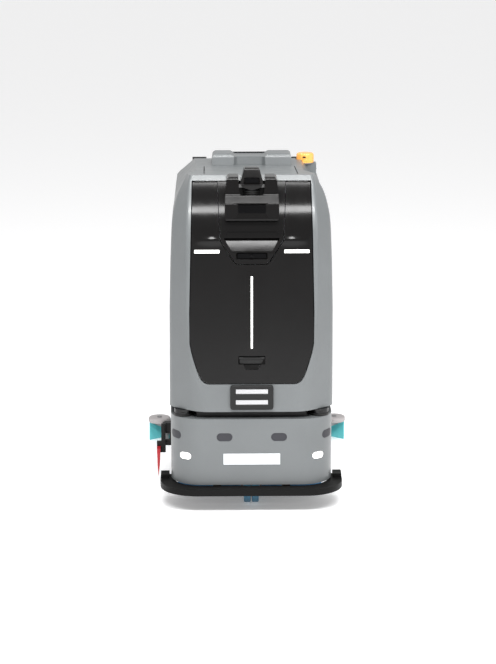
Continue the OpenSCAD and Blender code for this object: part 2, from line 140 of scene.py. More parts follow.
def circle(u, v, radius, sides):
    return [(u + radius * math.cos(math.tau * i / sides), v + radius * math.sin(math.tau * i / sides))
            for i in range(sides)]


def prism(name, outline, axis, lo, hi):
    """A closed solid: an outline in the plane across axis, from lo to hi along it."""
    def place(u, v, w):
        return {"x": (w, u, v), "y": (u, w, v), "z": (u, v, w)}[axis]
    n = len(outline)
    verts = [place(u, v, lo) for u, v in outline] + [place(u, v, hi) for u, v in outline]
    faces = [list(range(n))[::-1], list(range(n, 2 * n))]
    faces += [[i, (i + 1) % n, n + (i + 1) % n, n + i] for i in range(n)]
    return outward(new_object(name, verts, faces))


def rounded(points, radii, steps=6):
    """An outline whose corners are arcs."""
    out = []
    n = len(points)
    for i, (p, r) in enumerate(zip(points, radii)):
        a, b = Vector(points[i - 1]), Vector(points[(i + 1) % n])
        c = Vector(p)
        u, v = (a - c).normalized(), (b - c).normalized()
        half = u.angle(v) / 2
        if r <= 0 or half > math.pi / 2 - 0.02:
            out.append(tuple(c))
            continue
        cut = min(r / math.tan(half), 0.49 * (a - c).length, 0.49 * (b - c).length)
        rad = cut * math.tan(half)
        centre = c + (u + v).normalized() * (rad / math.sin(half))
        start, end = c + u * cut - centre, c + v * cut - centre
        sweep = math.atan2(start.x * end.y - start.y * end.x, start.dot(end))
        for k in range(steps + 1):
            t = sweep * k / steps
            x = start.x * math.cos(t) - start.y * math.sin(t)
            y = start.x * math.sin(t) + start.y * math.cos(t)
            out.append((centre.x + x, centre.y + y))
    return out


def apply_all(obj):
    """Bakes an object's modifiers into its mesh."""
    graph = bpy.context.evaluated_depsgraph_get()
    mesh = bpy.data.meshes.new_from_object(obj.evaluated_get(graph))
    obj.modifiers.clear()
    obj.data = mesh
    return obj


def combine(obj, tool, how):
    """Boolean with a tool object, which is then deleted."""
    mod = obj.modifiers.new(how, "BOOLEAN")
    mod.operation = how
    mod.solver = "EXACT"
    mod.object = tool
    bpy.context.view_layer.update()
    apply_all(obj)
    bpy.data.objects.remove(tool)
    return obj


def soften(obj, width, segments=3, angle=30, weld=0.00002):
    """Rounds the sharp edges and shades the rest smooth."""
    for poly in obj.data.polygons:
        poly.use_smooth = True
    w = obj.modifiers.new("weld", "WELD")
    w.merge_threshold = weld
    b = obj.modifiers.new("edges", "BEVEL")
    b.width = width
    b.segments = segments
    b.limit_method = "ANGLE"
    b.angle_limit = math.radians(angle)
    b.use_clamp_overlap = True
    b.harden_normals = True
    n = obj.modifiers.new("normals", "WEIGHTED_NORMAL")
    n.keep_sharp = True
    return obj


# ---------------------------------------------------------------- materials
def shader(name, colour, rough, metal=0.0, coat=0.0, variation=0.06, grain=900.0,
           bump=0.05, scuff=0.0, dust=0.0, lit=0.0, rough_spread=0.08, specular=0.5):
    """A moulded or coated surface: colour drift, fine grain, scuffs and settled dust."""
    mat = bpy.data.materials.new(name)
    mat.use_nodes = True
    tree = mat.node_tree
    nodes, links = tree.nodes, tree.links
    bsdf = nodes["Principled BSDF"]
    bsdf.inputs["Metallic"].default_value = metal
    bsdf.inputs["Coat Weight"].default_value = coat
    bsdf.inputs["Coat Roughness"].default_value = 0.14
    bsdf.inputs["Specular IOR Level"].default_value = specular
    place = nodes.new("ShaderNodeTexCoord")

    def noise(scale, detail=3.0):
        node = nodes.new("ShaderNodeTexNoise")
        node.inputs["Scale"].default_value = scale
        node.inputs["Detail"].default_value = detail
        links.new(place.outputs["Object"], node.inputs["Vector"])
        return node.outputs["Fac"]

    def ramp(value, low, high):
        node = nodes.new("ShaderNodeMapRange")
        node.inputs["From Min"].default_value = 0.3
        node.inputs["From Max"].default_value = 0.7
        node.inputs["To Min"].default_value = low
        node.inputs["To Max"].default_value = high
        links.new(value, node.inputs["Value"])
        return node.outputs["Result"]

    def mix(fac, a, b):
        node = nodes.new("ShaderNodeMix")
        node.data_type = "RGBA"
        links.new(fac, node.inputs["Factor"])
        for socket, value in ((node.inputs[6], a), (node.inputs[7], b)):
            if isinstance(value, tuple):
                socket.default_value = (*value, 1)
            else:
                links.new(value, socket)
        return node.outputs[2]

    dark = tuple(max(0.0, c * (1 - variation)) for c in colour)
    light = tuple(min(1.0, c * (1 + variation)) for c in colour)
    base = mix(ramp(noise(5.0), 0, 1), dark, light)
    speck = tuple(min(1.0, c * 0.8) for c in colour)
    base = mix(ramp(noise(grain * 0.4, 2), 0, 0.25), base, speck)
    if scuff:
        mark = nodes.new("ShaderNodeTexNoise")
        mark.inputs["Scale"].default_value = 14
        mark.inputs["Detail"].default_value = 8
        mark.inputs["Distortion"].default_value = 1.2
        links.new(place.outputs["Object"], mark.inputs["Vector"])
        node = nodes.new("ShaderNodeMapRange")
        node.inputs["From Min"].default_value = 0.66
        node.inputs["From Max"].default_value = 0.78
        node.inputs["To Max"].default_value = scuff
        links.new(mark.outputs["Fac"], node.inputs["Value"])
        pale = tuple(min(1.0, c * 1.5 + 0.02) for c in colour)
        base = mix(node.outputs["Result"], base, pale)
    if dust:
        split = nodes.new("ShaderNodeSeparateXYZ")
        links.new(place.outputs["Object"], split.inputs["Vector"])
        low = nodes.new("ShaderNodeMapRange")
        low.inputs["From Min"].default_value = 0.16
        low.inputs["From Max"].default_value = 0.0
        low.inputs["To Max"].default_value = dust
        links.new(split.outputs["Z"], low.inputs["Value"])
        base = mix(low.outputs["Result"], base, (0.3, 0.28, 0.25))
    links.new(base, bsdf.inputs["Base Color"])
    links.new(ramp(noise(23.0, 5), rough - rough_spread / 2, rough + rough_spread / 2),
              bsdf.inputs["Roughness"])
    relief = nodes.new("ShaderNodeBump")
    relief.inputs["Strength"].default_value = bump
    relief.inputs["Distance"].default_value = 0.0004
    links.new(noise(grain, 2), relief.inputs["Height"])
    links.new(relief.outputs["Normal"], bsdf.inputs["Normal"])
    if lit:
        bsdf.inputs["Emission Color"].default_value = (1, 0.99, 0.96, 1)
        bsdf.inputs["Emission Strength"].default_value = lit
    return mat


MATERIALS = {
    "body_grey": shader("body_grey", (0.106, 0.114, 0.117), 0.42, coat=0.22, grain=700, bump=0.06,
                        scuff=0.04),
    "gloss_black": shader("gloss_black", (0.0035, 0.0032, 0.0032), 0.15, coat=0.0, bump=0.0, specular=0.2,
                          rough_spread=0.05, variation=0.1),
    "satin_black": shader("satin_black", (0.009, 0.009, 0.009), 0.42, bump=0.15, scuff=0.05, dust=0.05,
                          specular=0.25),
    "lidar_black": shader("lidar_black", (0.003, 0.003, 0.0035), 0.12, bump=0.01, specular=0.3),
    "dark_window": shader("dark_window", (0.001, 0.001, 0.0013), 0.08, bump=0.0, specular=0.12),
    "window_grey": shader("window_grey", (0.03, 0.03, 0.035), 0.5, grain=1200, bump=0.2, specular=0.25),
    "white_light": shader("white_light", (0.9, 0.9, 0.87), 0.3, bump=0.03, lit=0.9),
    "plate_white": shader("plate_white", (0.62, 0.64, 0.66), 0.3, coat=0.3, bump=0.02),
    "contact_metal": shader("contact_metal", (0.46, 0.46, 0.47), 0.42, metal=0.6, bump=0.1,
                            grain=1500, scuff=0.3),
    "bumper_rubber": shader("bumper_rubber", (0.004, 0.004, 0.004), 0.45, bump=0.2, scuff=0.05,
                            dust=0.01, specular=0.08),
    "frame_steel": shader("frame_steel", (0.016, 0.016, 0.017), 0.45, metal=0.2, bump=0.3,
                          grain=500, scuff=0.2),
    "caster_rubber": shader("caster_rubber", (0.03, 0.15, 0.25), 0.45, bump=0.3, scuff=0.2,
                            dust=0.12),
    "rim_metal": shader("rim_metal", (0.42, 0.43, 0.44), 0.4, metal=0.8, bump=0.3, scuff=0.2),
    "tyre_rubber": shader("tyre_rubber", (0.02, 0.02, 0.02), 0.75, bump=0.5, dust=0.45, scuff=0.3),
    "brush_plastic": shader("brush_plastic", (0.02, 0.1, 0.2), 0.45, bump=0.2, scuff=0.2),
    "bristle_nylon": shader("bristle_nylon", (0.03, 0.15, 0.3), 0.55, bump=0.8, grain=500,
                            variation=0.4),
    "red_rubber": shader("red_rubber", (0.42, 0.002, 0.012), 0.4, bump=0.15, dust=0.12),
    "squeegee_grey": shader("squeegee_grey", (0.27, 0.27, 0.275), 0.4, metal=0.15, bump=0.2,
                            scuff=0.15),
    "squeegee_rubber": shader("squeegee_rubber", (0.13, 0.62, 0.66), 0.42, bump=0.12, dust=0.1),
    "roller_grey": shader("roller_grey", (0.4, 0.375, 0.375), 0.45, bump=0.2, scuff=0.2),
    "hose_black": shader("hose_black", (0.02, 0.02, 0.02), 0.5, bump=0.2, dust=0.1),
    "tank_plastic": shader("tank_plastic", (0.62, 0.65, 0.67), 0.4, bump=0.15, grain=300),
    "battery_case": shader("battery_case", (0.03, 0.035, 0.04), 0.5, bump=0.3),
    "base_yellow": shader("base_yellow", (0.8, 0.5, 0.02), 0.3, coat=0.3, bump=0.02),
    "button_red": shader("button_red", (0.5, 0.004, 0.006), 0.28, coat=0.4, bump=0.02),
    "amber_lens": shader("amber_lens", (0.8, 0.36, 0.07), 0.3, coat=0.5, bump=0.03),
}
SLOTS = {s["node"]: s["material_slot"] for s in frame["record"]["subparts"]}


def paint(obj, slot_name):
    obj.data.materials.clear()
    obj.data.materials.append(MATERIALS[slot_name])
    for poly in obj.data.polygons:
        poly.material_index = 0
    return obj


def finish_piece(obj, body, slot_name, *replaced):
    """Paints a piece, hangs it on its body and lets it stand for its CAD nodes."""
    paint(obj, slot_name)
    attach(obj, body)
    if replaced:
        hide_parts(*replaced)
    return obj


# ---------------------------------------------------------------- upper body
SIDE_HALF = [(0.35, 0.284), (0.70, 0.282), (0.86, 0.278), (0.98, 0.273), (1.02, 0.270),
             (1.05, 0.264), (1.09, 0.254), (1.114, 0.240), (1.135, 0.226), (1.165, 0.214)]
# height of the shoulder limit behind the lip, by distance from the middle
SHOULDER = [(0.180, 1.170), (0.188, 1.136), (0.198, 1.122), (0.212, 1.104), (0.236, 1.074),
            (0.262, 1.043), (0.268, 1.000), (0.300, 0.700)]
FLAT_HALF = [(0.35, 0.178), (0.45, 0.193), (0.56, 0.212), (0.70, 0.222), (1.00, 0.222),
             (1.15, 0.214)]
REAR_Y = 0.440


def body_ring(z, inset=0.0):
    """The body's outline at height z, corners rounded."""
    side = smooth_table(SIDE_HALF, z) - inset
    flat = min(smooth_table(FLAT_HALF, z, 0.04), 0.222, side + inset - 0.008)
    front = front_at(z) + inset
    back = REAR_Y - inset
    chamfer = 0.085
    flat = flat - inset * 0.5
    turn = lerp_table([(0.36, 0.10), (0.60, 0.030), (1.15, 0.012)], z)
    half = [(flat, front), (side, front + chamfer), (side, back - 0.06), (side - 0.06, back)]
    points = half + [(-x, y) for x, y in reversed(half)]
    radii = [turn, 0.06, 0.03, 0.03]
    return rounded(points, radii + radii[::-1], 7)


def body_loft(name, inset, z0, z1, rows):
    """The body's rings joined into one closed solid."""
    heights = [z0 + (z1 - z0) * i / rows for i in range(rows + 1)]
    rings = [body_ring(z, inset) for z in heights]
    n = len(rings[0])
    verts = [(x, y, z) for ring, z in zip(rings, heights) for x, y in ring]
    faces = [[r * n + i, r * n + (i + 1) % n, (r + 1) * n + (i + 1) % n, (r + 1) * n + i]
             for r in range(rows) for i in range(n)]
    faces += [list(range(n))[::-1], list(range(rows * n, (rows + 1) * n))]
    return outward(new_object(name, verts, faces))


def side_profile(inset):
    """The body's side outline: deck, rear slope and the cut-away under the front."""
    deck = [(-0.60, LIP_Z - inset), (-0.40, LIP_Z - inset), (-0.02, 1.136 - inset),
            (0.23, 1.126 - inset), (0.38 - inset, 1.056 - inset), (0.50, 0.860 - inset)]
    low = [(0.50, 0.150 - inset), (-0.15 + inset, 0.150 - inset),
           (-0.15 + inset, BODY_Z0 - inset), (-0.60, BODY_Z0 - inset)]
    points = deck + low
    radii = [0, 0.0, 0.05, 0.10, 0.05, 0, 0, 0, 0, 0]
    return rounded(points, radii)


def hatch_outline(grow):
    """The hatch opening seen from the front, wider than the hatch by grow."""
    low = [(0.454 - grow + 0.034 * (i / 8) ** 1.5) for i in range(9)]
    heights = low + [0.50, 0.53, 0.56, 0.592, 0.7, 0.9, 1.05, HATCH_Z[1] + (0.005 if grow else 0)]
    half = [(hatch_half(z + (grow if z < 0.482 else 0)) + grow, z) for z in heights]
    return half + [(-x, z) for x, z in reversed(half)]


def shoulder_cut(inset):
    """Everything outside the shoulder line, growing in from nothing behind the lip."""
    stations = [-0.372, -0.330, -0.270, -0.20, 0.50]
    verts, faces = [], []
    for k, y in enumerate(stations):
        amount = (0.0, 0.30, 0.70, 1.0, 1.0)[k]
        ring = []
        for x, z in SHOULDER:
            wide = x - inset + (1 - amount) * 0.045
            ring.append((wide, z - inset * 0.6 + (1 - amount) * 0.035))
        ring = ring + [(0.40, 0.70), (0.40, 1.30), (0.180 - inset + (1 - amount) * 0.045, 1.30)]
        verts += [(x, y, z) for x, z in ring]
    n = len(SHOULDER) + 3
    for k in range(len(stations) - 1):
        for i in range(n):
            j = (i + 1) % n
            faces.append([k * n + i, k * n + j, (k + 1) * n + j, (k + 1) * n + i])
    faces += [list(range(n))[::-1], list(range((len(stations) - 1) * n, len(stations) * n))]
    count = len(verts)
    verts += [(-x, y, z) for x, y, z in verts]
    faces += [[count + i for i in reversed(f)] for f in faces]
    return outward(new_object("cut", verts, faces))


def make_body():
    obj = body_loft("body_shell", 0.0, 0.10, 1.166, 60)
    combine(obj, prism("cut", side_profile(0.0), "x", -0.4, 0.4), "INTERSECT")
    inner = body_loft("inner", WALL, 0.09, 1.16, 24)
    combine(inner, prism("cut", side_profile(WALL), "x", -0.39, 0.39), "INTERSECT")
    combine(inner, shoulder_cut(WALL), "DIFFERENCE")
    combine(obj, shoulder_cut(0.0), "DIFFERENCE")
    # ledge the beacon stands on
    for solid, edge in ((obj, 0.0), (inner, WALL)):
        ledge = [(0.175 - edge, 0.165 - edge), (0.40, 0.165 - edge), (0.40, 0.50),
                 (0.175 - edge, 0.50)]
        combine(solid, prism("cut", ledge, "z", 1.110 - edge, 1.30), "DIFFERENCE")
    combine(obj, inner, "DIFFERENCE")
    combine(obj, prism("cut", hatch_outline(GAP), "y", -0.6, -0.38), "DIFFERENCE")
    notch = [(-0.06, 0.14), (0.06, 0.14), (0.06, 0.176), (-0.06, 0.176)]
    combine(obj, prism("cut", notch, "y", 0.42, 0.46), "DIFFERENCE")
    inlet = circle(0.0, INLET_Z, INLET_R, 32)
    combine(obj, prism("cut", inlet, "y", 0.40, 0.46), "DIFFERENCE")
    arch = circle(*AXLE_YZ, ARCH_R, 64)
    combine(obj, prism("cut", arch, "x", -0.4, 0.4), "DIFFERENCE")
    passage = [(-0.265, 0.09), (0.265, 0.09), (0.265, 0.34), (-0.265, 0.34)]
    combine(obj, prism("cut", passage, "y", -0.16, -0.135), "DIFFERENCE")
    lid = rounded([(-0.162, -0.352), (0.162, -0.352), (0.162, -0.046), (-0.162, -0.046)],
                  [0.002] * 4)
    combine(obj, prism("cut", lid, "z", 1.08, 1.2), "DIFFERENCE")
    combine(obj, prism("cut", circle(*BUTTON_XY, STEM_R, 32), "z", 1.10, 1.14), "DIFFERENCE")
    soften(obj, 0.0035, 3, 28, 0.00005)
    return finish_piece(obj, "chassis", "body_grey", "main_body_shell")


make_body()


# ---------------------------------------------------------------- hatch panel
def panel_relief(x, z):
    """How far the panel swells outwards: the soft centre column and the shoulder crease."""
    column = max(0.0, 1 - abs(x) / 0.062) * lerp_table([(0.40, 0.3), (0.60, 1.0), (0.80, 0.7),
                                                       (0.90, 0.0)], z)
    edge = max(0.0, 1 - (abs(x) / 0.205) ** 6)
    crease = math.exp(-((z - 0.952) / 0.011) ** 2) * max(0.0, 1 - abs(abs(x) - 0.135) / 0.06)
    return 0.0032 * column ** 0.8 + 0.0015 * edge + 0.0068 * crease


def make_panel():
    rows, cols = 130, 96
    faces, grid = [], []
    for r in range(rows + 1):
        z = HATCH_Z[0] + (HATCH_Z[1] - HATCH_Z[0]) * (r / rows)
        for c in range(cols + 1):
            x = hatch_half(z) * (2 * c / cols - 1)
            grid.append((x, front_at(z) - panel_relief(x, z) + 0.0015, z))
    n = (rows + 1) * (cols + 1)
    verts = grid + [(x, y + 0.004, z) for x, y, z in grid]
    w = cols + 1
    for r in range(rows):
        for c in range(cols):
            a = r * w + c
            faces.append([a, a + 1, a + 1 + w, a + w])
            faces.append([n + a + w, n + a + w + 1, n + a + 1, n + a])
    border = list(range(w)) + [r * w + cols for r in range(1, rows + 1)]
    border += [rows * w + c for c in range(cols - 1, -1, -1)] + [r * w for r in range(rows - 1, 0, -1)]
    for i, a in enumerate(border):
        b = border[(i + 1) % len(border)]
        faces.append([a, n + a, n + b, b])
    obj = outward(new_object("hatch_panel", verts, faces))
    notch = [(0.057, 0.868), (0.110, 0.953), (0.1192, 1.2)]
    notch = notch + [(-x, z) for x, z in reversed(notch)]
    combine(obj, prism("cut", rounded(notch, [0.02, 0.02, 0, 0, 0.02, 0.02]), "y", -0.6, -0.38),
            "DIFFERENCE")
    recess = rounded([(-0.046, 0.551), (0.046, 0.551), (0.046, 0.5215), (0.032, 0.5215),
                      (0.022, 0.503), (-0.022, 0.503), (-0.032, 0.5215), (-0.046, 0.5215)],
                     [0.003, 0.003, 0.003, 0.002, 0.003, 0.003, 0.002, 0.003])
    combine(obj, prism("cut", recess, "y", -0.6, -0.48), "DIFFERENCE")
    slots = [((0.0, 0.703), (0.0076, 0.2526))] + [((s * 0.1525, 0.914), (0.0856, 0.0116))
                                                  for s in (-1, 1)]
    for (cx, cz), (sx, sz) in slots:
        pts = [(cx - sx / 2, cz - sz / 2), (cx + sx / 2, cz - sz / 2),
               (cx + sx / 2, cz + sz / 2), (cx - sx / 2, cz + sz / 2)]
        combine(obj, prism("cut", rounded(pts, [min(sx, sz) * 0.4] * 4, 3), "y", -0.6, -0.48),
                "DIFFERENCE")
    soften(obj, 0.0012, 3, 35, 0.00005)
    return finish_piece(obj, "hatch", "gloss_black")


panel = make_panel()


def make_tray():
    """Scooped pocket behind the latch, with hinge knuckles at the top of the hatch."""
    bm = bmesh.new()
    outer = [(-0.052, 0.558), (0.052, 0.558), (0.052, 0.496), (-0.052, 0.496)]
    front, back = -0.4966, -0.4700
    rim = [bm.verts.new((x, front, z)) for x, z in outer]
    slope = [(-0.044, -0.474, 0.549), (0.044, -0.474, 0.549), (0.022, -0.4935, 0.505),
             (-0.022, -0.4935, 0.505)]
    floor = [bm.verts.new(corner) for corner in slope]
    shell = [bm.verts.new((x, back + 0.002, z)) for x, z in outer]
    lip = [bm.verts.new((x * 0.97, front, 0.527 + (z - 0.527) * 0.94)) for x, z in outer]
    for i in range(4):
        j = (i + 1) % 4
        bm.faces.new((lip[i], lip[j], floor[j], floor[i]))
        bm.faces.new((rim[i], rim[j], lip[j], lip[i]))
        bm.faces.new((rim[j], rim[i], shell[i], shell[j]))
    bm.faces.new(floor)
    bm.faces.new(shell[::-1])
    tray = from_bmesh("latch_tray", bm)
    soften(tray, 0.002, 3, 25)
    finish_piece(tray, "hatch", "gloss_black")
    bm = bmesh.new()
    hinge_y = front_at(HATCH_Z[1]) + 0.0025
    for s in (-1, 1):
        for k in range(4):
            x0 = s * 0.122 + s * k * 0.018
            res = bmesh.ops.create_cone(bm, cap_ends=True, segments=24, radius1=0.0034,
                                        radius2=0.0034, depth=0.015)
            for v in res["verts"]:
                v.co = Vector((v.co.z + x0 + s * 0.0085, v.co.x + hinge_y, v.co.y + HATCH_Z[1]))
    knuckles = from_bmesh("hatch_knuckles", bm)
    soften(knuckles, 0.0005, 2, 40)
    finish_piece(knuckles, "hatch", "satin_black")


make_tray()
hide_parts("front_panel")

# ---------------------------------------------------------------- small helpers for the details
def frustum(front, back, y_front, y_back):
    """A solid between two XZ outlines with the same number of points."""
    n = len(front)
    verts = [(x, y_front, z) for x, z in front] + [(x, y_back, z) for x, z in back]
    faces = [list(range(n))[::-1], list(range(n, 2 * n))]
    faces += [[i, (i + 1) % n, n + (i + 1) % n, n + i] for i in range(n)]
    return outward(new_object("frustum", verts, faces))


def lathe(name, profile, centre, steps=64, ripple=None):
    """A closed solid turned about a vertical axis from (radius, z) points."""
    verts, faces = [], []
    n = len(profile)
    for i in range(steps):
        a = math.tau * i / steps
        for radius, z in profile:
            r = radius + (ripple(a, radius, z) if ripple else 0.0)
            verts.append((centre[0] + r * math.cos(a), centre[1] + r * math.sin(a), z))
    for i in range(steps):
        j = (i + 1) % steps
        for k in range(n - 1):
            faces.append([i * n + k, j * n + k, j * n + k + 1, i * n + k + 1])
    if profile[0][0] > 0.0005 and profile[-1][0] > 0.0005 and profile[0] != profile[-1]:
        faces.append([i * n for i in range(steps)][::-1])
        faces.append([i * n + n - 1 for i in range(steps)])
    obj = new_object(name, verts, faces)
    bm = bmesh.new()
    bm.from_mesh(obj.data)
    bmesh.ops.remove_doubles(bm, verts=bm.verts, dist=0.00001)
    return rebuilt(obj, bm)


def box_outline(x0, x1, z0, z1, radius):
    return rounded([(x0, z0), (x1, z0), (x1, z1), (x0, z1)], [radius] * 4, 4)


def bolt_heads(name, places, axis, radius, height, body, slot_name):
    """Hexagon socket screw heads, all in one piece."""
    sides = 24
    bm = bmesh.new()
    for x, y, z in places:
        rings = [(radius, 0.0), (radius, height * 0.75), (radius * 0.88, height),
                 (radius * 0.5, height), (radius * 0.5, height * 0.45)]
        rows = []
        for ring, (rad, lift) in enumerate(rings):
            row = []
            for i in range(sides):
                a = math.tau * i / sides
                reach = rad
                if ring >= 3:
                    reach = rad * math.cos(math.pi / 6) / math.cos((a % (math.pi / 3)) - math.pi / 6)
                u, v = reach * math.cos(a), reach * math.sin(a)
                place = {"-y": (x + u, y - lift, z + v), "+y": (x + u, y + lift, z + v),
                         "+x": (x + lift, y + u, z + v), "-x": (x - lift, y + u, z + v),
                         "+z": (x + u, y + v, z + lift)}[axis]
                row.append(bm.verts.new(place))
            rows.append(row)
        for low, high in zip(rows, rows[1:]):
            for i in range(sides):
                j = (i + 1) % sides
                bm.faces.new((low[i], low[j], high[j], high[i]))
        bm.faces.new(rows[0][::-1])
        bm.faces.new(rows[-1])
    obj = from_bmesh(name, bm)
    for poly in obj.data.polygons:
        poly.use_smooth = False
    return finish_piece(obj, body, slot_name)


# ---------------------------------------------------------------- sensor pod
def make_pod():
    outline = [(-0.054, 0.871), (0.054, 0.871), (0.107, 0.953), (0.116, 1.152), (-0.116, 1.152),
               (-0.107, 0.953)]
    plate = prism("sensor_pod", rounded(outline, [0.014, 0.014, 0.03, 0, 0, 0.03]), "y", -0.6, -0.36)
    rows = [0.871 + 0.269 * i / 24 for i in range(25)]
    slab = [(front_at(z), z) for z in rows] + [(front_at(z) + 0.030, z) for z in reversed(rows)]
    combine(plate, prism("cut", slab, "x", -0.2, 0.2), "INTERSECT")
    side = rounded([(-0.488, 1.021), (-0.516, 1.0215), (-0.5145, 1.081), (-0.488, 1.106),
                    (-0.482, 1.166), (-0.401, 1.166), (-0.401, 1.158), (-0.414, 1.142),
                    (-0.450, 1.050)],
                   [0, 0.007, 0.010, 0.014, 0.012, 0.002, 0, 0, 0])
    block = prism("block", side, "x", -0.2, 0.2)
    face = rounded([(-0.092, 1.019), (0.092, 1.019), (0.0915, 1.075), (0.0850, 1.1662),
                    (-0.0850, 1.1662), (-0.0915, 1.075)], [0.016, 0.016, 0.02, 0.014, 0.014, 0.02])
    combine(block, prism("cut", face, "y", -0.6, -0.3), "INTERSECT")
    combine(plate, block, "UNION")
    valley = rounded([(-0.55, 1.104), (-0.489, 1.104), (-0.486, 1.092), (-0.424, 1.092),
                      (-0.418, 1.120), (-0.395, 1.143), (-0.395, 1.20), (-0.55, 1.20)],
                     [0, 0.004, 0.003, 0.003, 0, 0, 0, 0])
    notch = prism("notch", valley, "x", -0.2, 0.2)
    dip = rounded([(-0.034, 1.08), (0.034, 1.08), (0.042, 1.12), (0.048, 1.2), (-0.048, 1.2),
                   (-0.042, 1.12)], [0.006, 0.006, 0.01, 0, 0, 0.01])
    combine(notch, prism("cut", dip, "y", -0.6, -0.3), "INTERSECT")
    combine(plate, notch, "DIFFERENCE")
    wide = box_outline(-0.068, 0.068, 1.026, 1.086, 0.008)
    near = box_outline(-0.0468, 0.0468, 1.0492, 1.0758, 0.0035)
    combine(plate, frustum(wide, near, -0.5185, -0.508), "DIFFERENCE")
    # tilted face under the shelf: deep at the top, flush at the bottom
    tilt = prism("tilt", [(-0.55, 0.965), (-0.4752, 0.958), (-0.4962, 0.914), (-0.55, 0.914)],
                 "x", -0.2, 0.2)
    cheek = rounded([(-0.067, 0.914), (0.067, 0.914), (0.094, 0.957), (0.090, 0.968),
                     (-0.090, 0.968), (-0.094, 0.957)], [0.003] * 6)
    combine(tilt, prism("cut", cheek, "y", -0.6, -0.4), "INTERSECT")
    combine(plate, tilt, "DIFFERENCE")
    slot_wide = box_outline(-0.056, 0.056, 0.884, 0.912, 0.005)
    slot_near = box_outline(-0.0484, 0.0484, 0.8896, 0.9064, 0.003)
    combine(plate, frustum(slot_wide, slot_near, -0.4985, -0.489), "DIFFERENCE")
    # shelf line with its ends turned down
    for x0, x1, z0, z1 in ((-0.084, 0.084, 0.9795, 0.9815), (-0.088, -0.084, 0.973, 0.9815),
                           (0.084, 0.088, 0.973, 0.9815)):
        combine(plate, prism("cut", box_outline(x0, x1, z0, z1, 0.0005), "y", -0.6,
                             front_at(z1) + 0.0025), "DIFFERENCE")
    soften(plate, 0.0022, 3, 32, 0.00005)
    finish_piece(plate, "chassis", "gloss_black", "sensor_pod")
    lens = lathe("camera_lens", [(0.0001, 0.0), (0.0052, 0.0), (0.0052, 0.0014), (0.0038, 0.0026),
                                 (0.0030, 0.0016), (0.0001, 0.0022)], (0, 0), 40)
    for v in lens.data.vertices:
        v.co = Vector((v.co.x, -0.4956 - v.co.z, 0.898 + v.co.y))
    soften(lens, 0.0002, 2, 40)
    finish_piece(lens, "chassis", "dark_window")


def make_turret():
    hood = prism("turret_hood", rounded(
        [(-0.025, 1.196), (0.025, 1.196), (0.039, 1.145), (0.032, 1.132), (0, 1.120),
         (-0.032, 1.132), (-0.039, 1.145)], [0.007, 0.007, 0.006, 0.008, 0.01, 0.008, 0.006]),
        "y", -0.50, -0.41)
    side = rounded([(-0.484, 1.119), (-0.488, 1.145), (-0.472, 1.196), (-0.428, 1.196),
                    (-0.424, 1.150), (-0.427, 1.119)], [0.002, 0.006, 0.010, 0.012, 0.01, 0])
    combine(hood, prism("cut", side, "x", -0.05, 0.05), "INTERSECT")
    wide = box_outline(-0.030, 0.030, 1.1395, 1.170, 0.005)
    near = box_outline(-0.0238, 0.0238, 1.1452, 1.1628, 0.002)
    combine(hood, frustum(wide, near, -0.4915, -0.478), "DIFFERENCE")
    seam = [(-0.50, 1.1375), (-0.41, 1.1375), (-0.41, 1.1384), (-0.50, 1.1384)]
    shell = prism("seam", seam, "x", -0.06, 0.06)
    core = prism("core", [(-0.0365, 1.13), (0.0365, 1.13), (0.0365, 1.15), (-0.0365, 1.15)], "y",
                 -0.4855, -0.4265)
    combine(shell, core, "DIFFERENCE")
    combine(hood, shell, "DIFFERENCE")
    soften(hood, 0.0012, 3, 34, 0.00005)
    finish_piece(hood, "chassis", "gloss_black", "turret_hood")
    profile = [(0.0001, 1.0921), (0.0240, 1.0921)]
    for k in range(4):
        z = 1.0935 + k * 0.0064
        r = 0.0245 + k * 0.0012
        profile += [(r, z), (r + 0.0014, z + 0.0014), (r + 0.0014, z + 0.0034), (r - 0.001, z + 0.0048)]
    profile += [(0.0286, 1.1196), (0.0001, 1.1196)]
    neck = lathe("turret_neck", profile, TURRET_XY, 72)
    soften(neck, 0.0004, 2, 40)
    finish_piece(neck, "chassis", "satin_black", "turret_neck")


def make_console():
    def deck(y):
        return 1.136 - 0.010 * (y + 0.02) / 0.25 + 0.0003
    side = rounded([(-0.020, deck(-0.020)), (-0.016, 1.1770), (0.080, 1.1770), (0.150, deck(0.150))],
                   [0, 0.016, 0.02, 0])
    hump = prism("console", side, "x", -0.2, 0.2)
    top = 1.1771
    front = rounded([(-0.136, 1.10), (0.153, 1.10), (0.151, top), (0.070, top), (0.055, 1.1652),
                     (-0.052, 1.1652), (-0.067, top), (-0.130, top)],
                    [0, 0, 0.016, 0.018, 0.014, 0.014, 0.018, 0.018])
    combine(hump, prism("cut", front, "y", -0.1, 0.2), "INTERSECT")
    saddle = rounded([(-0.047, -0.05), (0.050, -0.05), (0.060, -0.022), (0.046, -0.002),
                      (-0.043, -0.002), (-0.057, -0.022)], [0, 0, 0.004, 0.010, 0.010, 0.004])
    combine(hump, prism("cut", saddle, "z", 1.05, 1.2), "DIFFERENCE")
    angle = math.radians(-32)
    pocket = []
    for u, w in ((-0.033, -0.006), (0.033, -0.006), (0.033, 0.03), (-0.033, 0.03)):
        pocket.append((0.117 + u * math.cos(angle) - w * math.sin(angle),
                       1.1535 + u * math.sin(angle) + w * math.cos(angle)))
    combine(hump, prism("cut", pocket, "x", -0.113, 0.117), "DIFFERENCE")
    soften(hump, 0.003, 3, 32, 0.00005)
    finish_piece(hump, "chassis", "body_grey", "console_housing")


